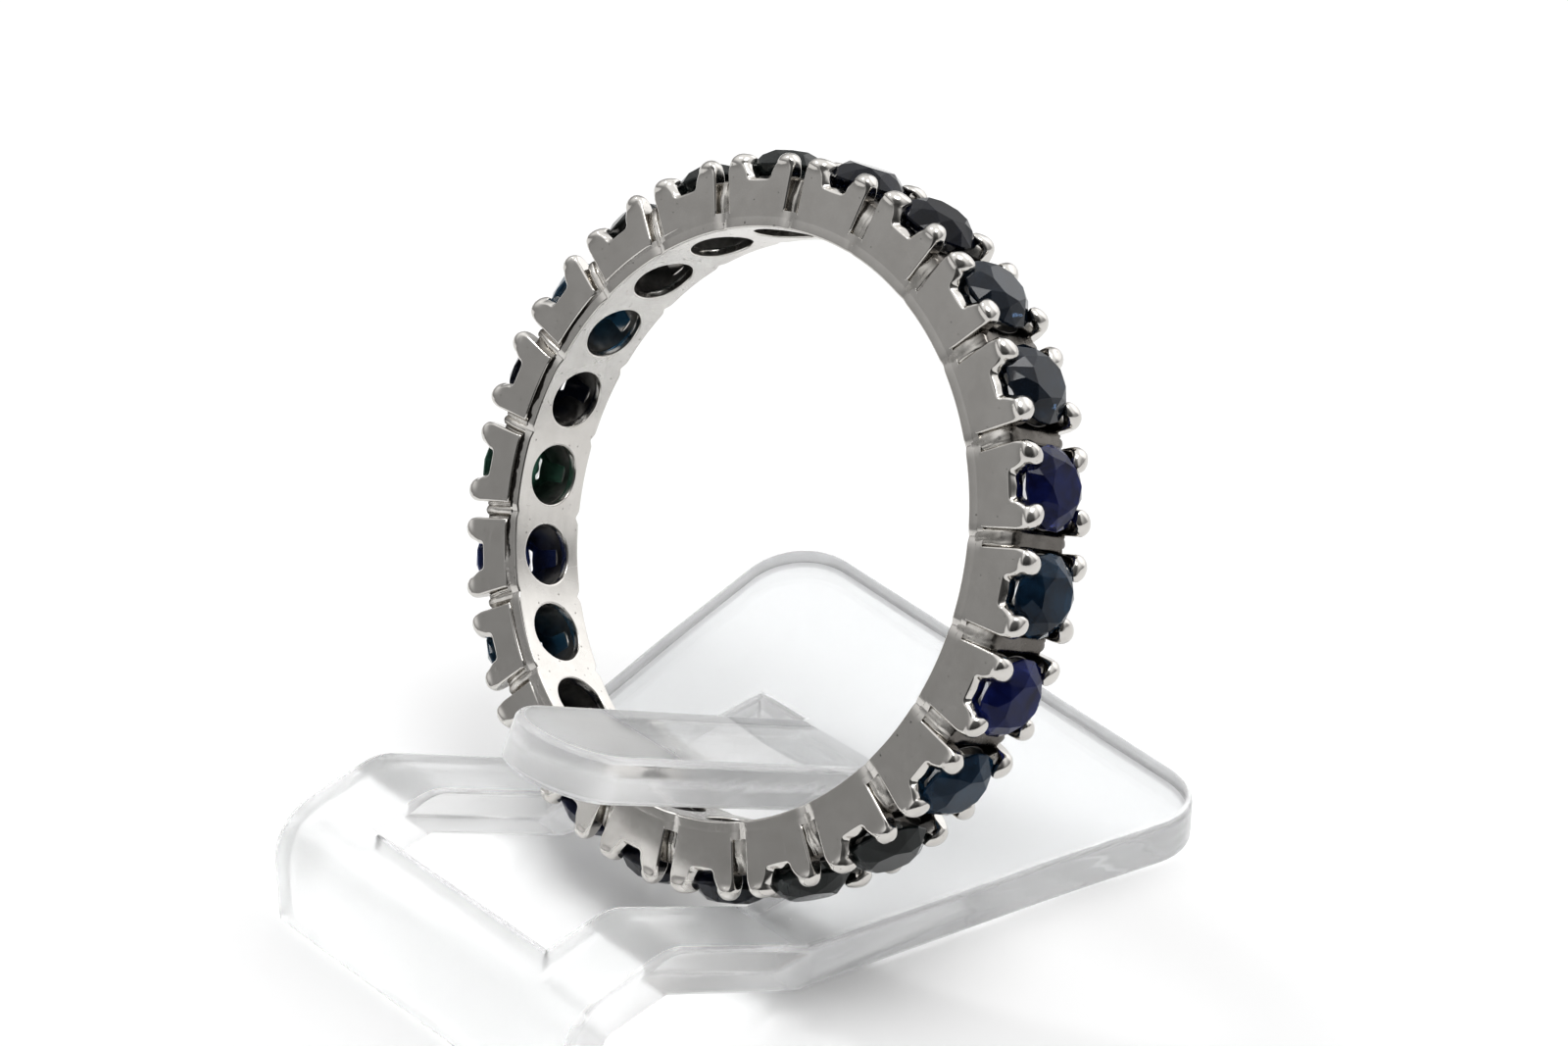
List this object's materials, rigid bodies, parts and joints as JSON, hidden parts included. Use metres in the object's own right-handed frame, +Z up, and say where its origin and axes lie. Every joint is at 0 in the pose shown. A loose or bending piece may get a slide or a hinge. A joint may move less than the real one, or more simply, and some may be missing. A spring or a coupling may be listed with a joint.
{
  "type": "sapphire ring on a clear stand",
  "caption": "Eternity ring: round dark blue stones in open claw boxes on a white metal band, leaning in a small clear bent-sheet stand.",
  "frame": {"origin": "middle of the object's outline on the table, at table height", "axes": "+Z up; -Y toward the raised front of the stand, which the ring's near face looks at; +Y toward the wide plate; +X to the right seen from the front"},
  "size_m": [0.022, 0.025, 0.0215],
  "materials": {
    "white_metal": "polished white precious metal with fine scratches and pits",
    "sapphire": "faceted dark blue to blue-green stone",
    "clear_sheet": "clear colourless plastic sheet with polished, slightly rounded edges"
  },
  "bodies": {
    "root": {"ring_mount": "white_metal", "stone_01": "sapphire", "stone_02": "sapphire", "stone_03": "sapphire", "stone_04": "sapphire", "stone_05": "sapphire", "stone_06": "sapphire", "stone_07": "sapphire", "stone_08": "sapphire", "stone_09": "sapphire", "stone_10": "sapphire", "stone_11": "sapphire", "stone_12": "sapphire", "stone_13": "sapphire", "stone_14": "sapphire", "stone_15": "sapphire", "stone_16": "sapphire", "stone_17": "sapphire", "stone_18": "sapphire", "stone_19": "sapphire", "stone_20": "sapphire", "stone_21": "sapphire", "stone_22": "sapphire", "stand": "clear_sheet"}
  },
  "joints": []
}
